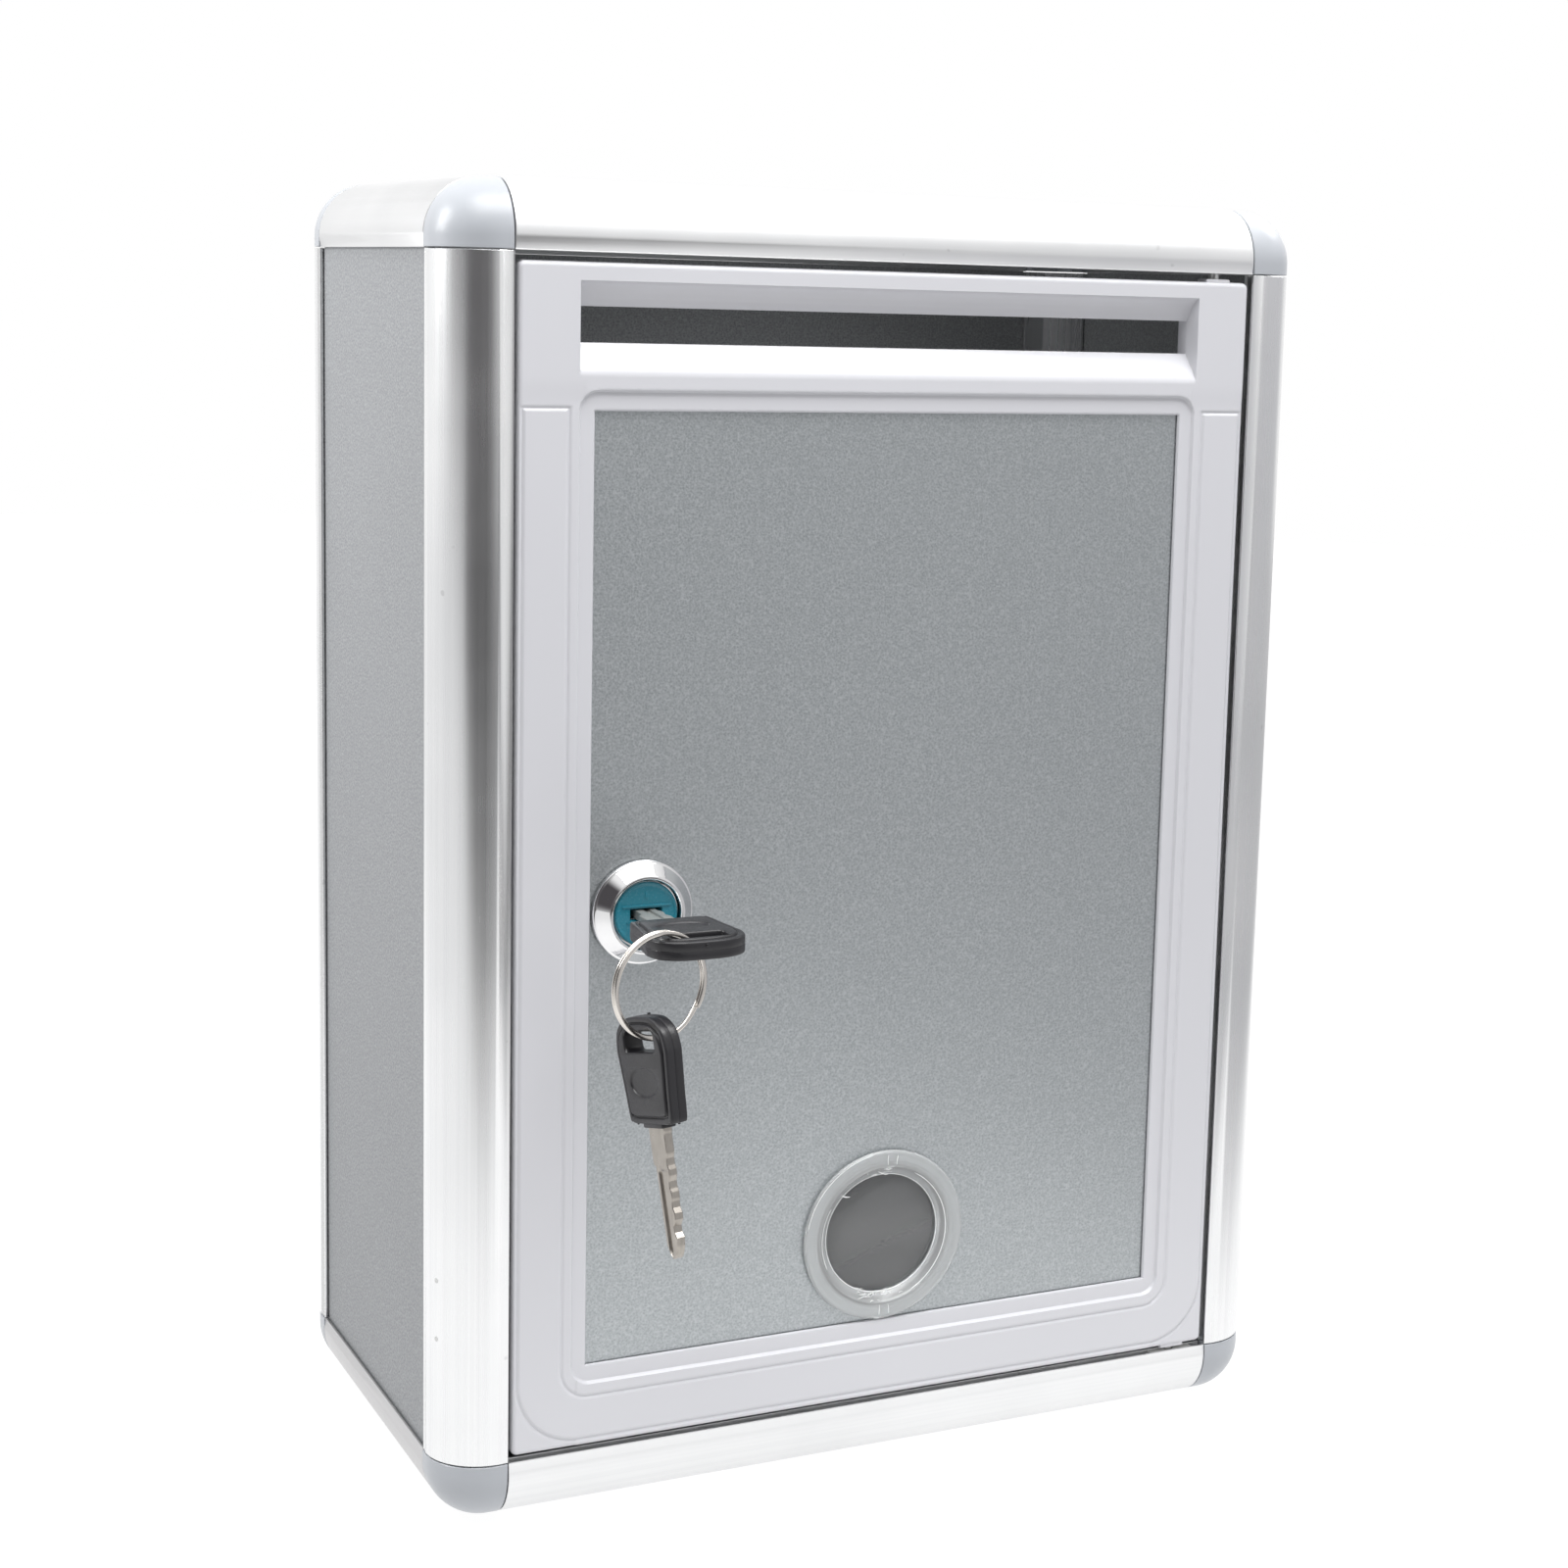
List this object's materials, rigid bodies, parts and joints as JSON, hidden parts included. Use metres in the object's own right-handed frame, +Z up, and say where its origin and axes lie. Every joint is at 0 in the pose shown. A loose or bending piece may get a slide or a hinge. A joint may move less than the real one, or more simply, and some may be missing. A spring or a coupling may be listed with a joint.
{
  "type": "suggestion box",
  "caption": "Upright suggestion box with a rounded aluminium frame, a hinged front door with a letter slot and a round window, and a cam lock holding a key on a ring.",
  "frame": {"origin": "under the middle of the cabinet, on the plane its frame stands on, 1.3 mm below the underside of the bottom panel", "axes": "+Z up, +X to the right of someone facing the door, +Y from the door towards the back panel"},
  "size_m": [0.215, 0.1643, 0.3],
  "materials": {
    "anodised aluminium": "satin, natural anodised",
    "grey-blue plastic": "satin moulded",
    "speckled grey sheet": "fine speckled coating",
    "white plastic": "satin to semi-gloss moulded",
    "clear plastic": "clear, gloss",
    "chrome": "bright chrome",
    "zinc plate": "zinc plated",
    "teal plastic": "satin moulded",
    "black plastic": "satin moulded",
    "nickel plate": "nickel plated",
    "nylon": "moulded"
  },
  "bodies": {
    "box": {"column_front_left": "anodised aluminium", "column_front_right": "anodised aluminium", "column_rear_left": "anodised aluminium", "column_rear_right": "anodised aluminium", "rail_bottom_front": "anodised aluminium", "rail_bottom_rear": "anodised aluminium", "rail_bottom_left": "anodised aluminium", "rail_bottom_right": "anodised aluminium", "rail_top_front": "anodised aluminium", "rail_top_rear": "anodised aluminium", "rail_top_left": "anodised aluminium", "rail_top_right": "anodised aluminium", "corner_cap_bottom_front_left": "grey-blue plastic", "corner_cap_bottom_front_right": "grey-blue plastic", "corner_cap_bottom_rear_left": "grey-blue plastic", "corner_cap_bottom_rear_right": "grey-blue plastic", "corner_cap_top_front_left": "grey-blue plastic", "corner_cap_top_front_right": "grey-blue plastic", "corner_cap_top_rear_left": "grey-blue plastic", "corner_cap_top_rear_right": "grey-blue plastic", "side_panel_left": "speckled grey sheet", "side_panel_right": "speckled grey sheet", "top_panel": "speckled grey sheet", "bottom_panel": "speckled grey sheet", "back_panel": "speckled grey sheet", "hinge_block_bottom": "nylon", "hinge_block_top": "nylon"},
    "door": {"door_frame": "white plastic", "door_panel": "speckled grey sheet", "hinge_pin_bottom": "zinc plate", "hinge_pin_top": "zinc plate", "window_ring": "clear plastic", "window_pane": "clear plastic", "lock_housing": "chrome", "lock_nut": "zinc plate"},
    "lock_core": {"lock_plug": "teal plastic", "lock_cam": "zinc plate", "cam_screw": "zinc plate"},
    "key": {"key_bow": "black plastic", "key_blade": "nickel plate"},
    "ring": {"split_ring": "nickel plate"},
    "spare_key": {"spare_key_bow": "black plastic", "spare_key_blade": "nickel plate"}
  },
  "joints": [
    {"name": "door_hinge", "type": "hinge", "parent": "box", "child": "door", "pos_m": [0.0828, -0.0558, 0.15], "axis": [0, 0, 1], "range_deg": [0, 110]},
    {"name": "lock_turn", "type": "hinge", "parent": "door", "child": "lock_core", "pos_m": [-0.0613, -0.06, 0.1397], "axis": [0, 1, 0], "range_deg": [0, 90]},
    {"name": "key_slide", "type": "slide", "parent": "lock_core", "child": "key", "axis": [0, -1, 0], "range_m": [0, 0.03]},
    {"name": "ring_swing", "type": "hinge", "parent": "key", "child": "ring", "pos_m": [-0.0706, -0.0928, 0.14265], "axis": [0.9713, 0.2377, 0], "range_deg": [-6, 6]},
    {"name": "spare_key_swing", "type": "hinge", "parent": "ring", "child": "spare_key", "pos_m": [-0.07296, -0.09338, 0.12111], "axis": [0.9713, 0.2377, 0], "range_deg": [-50, 38]}
  ]
}
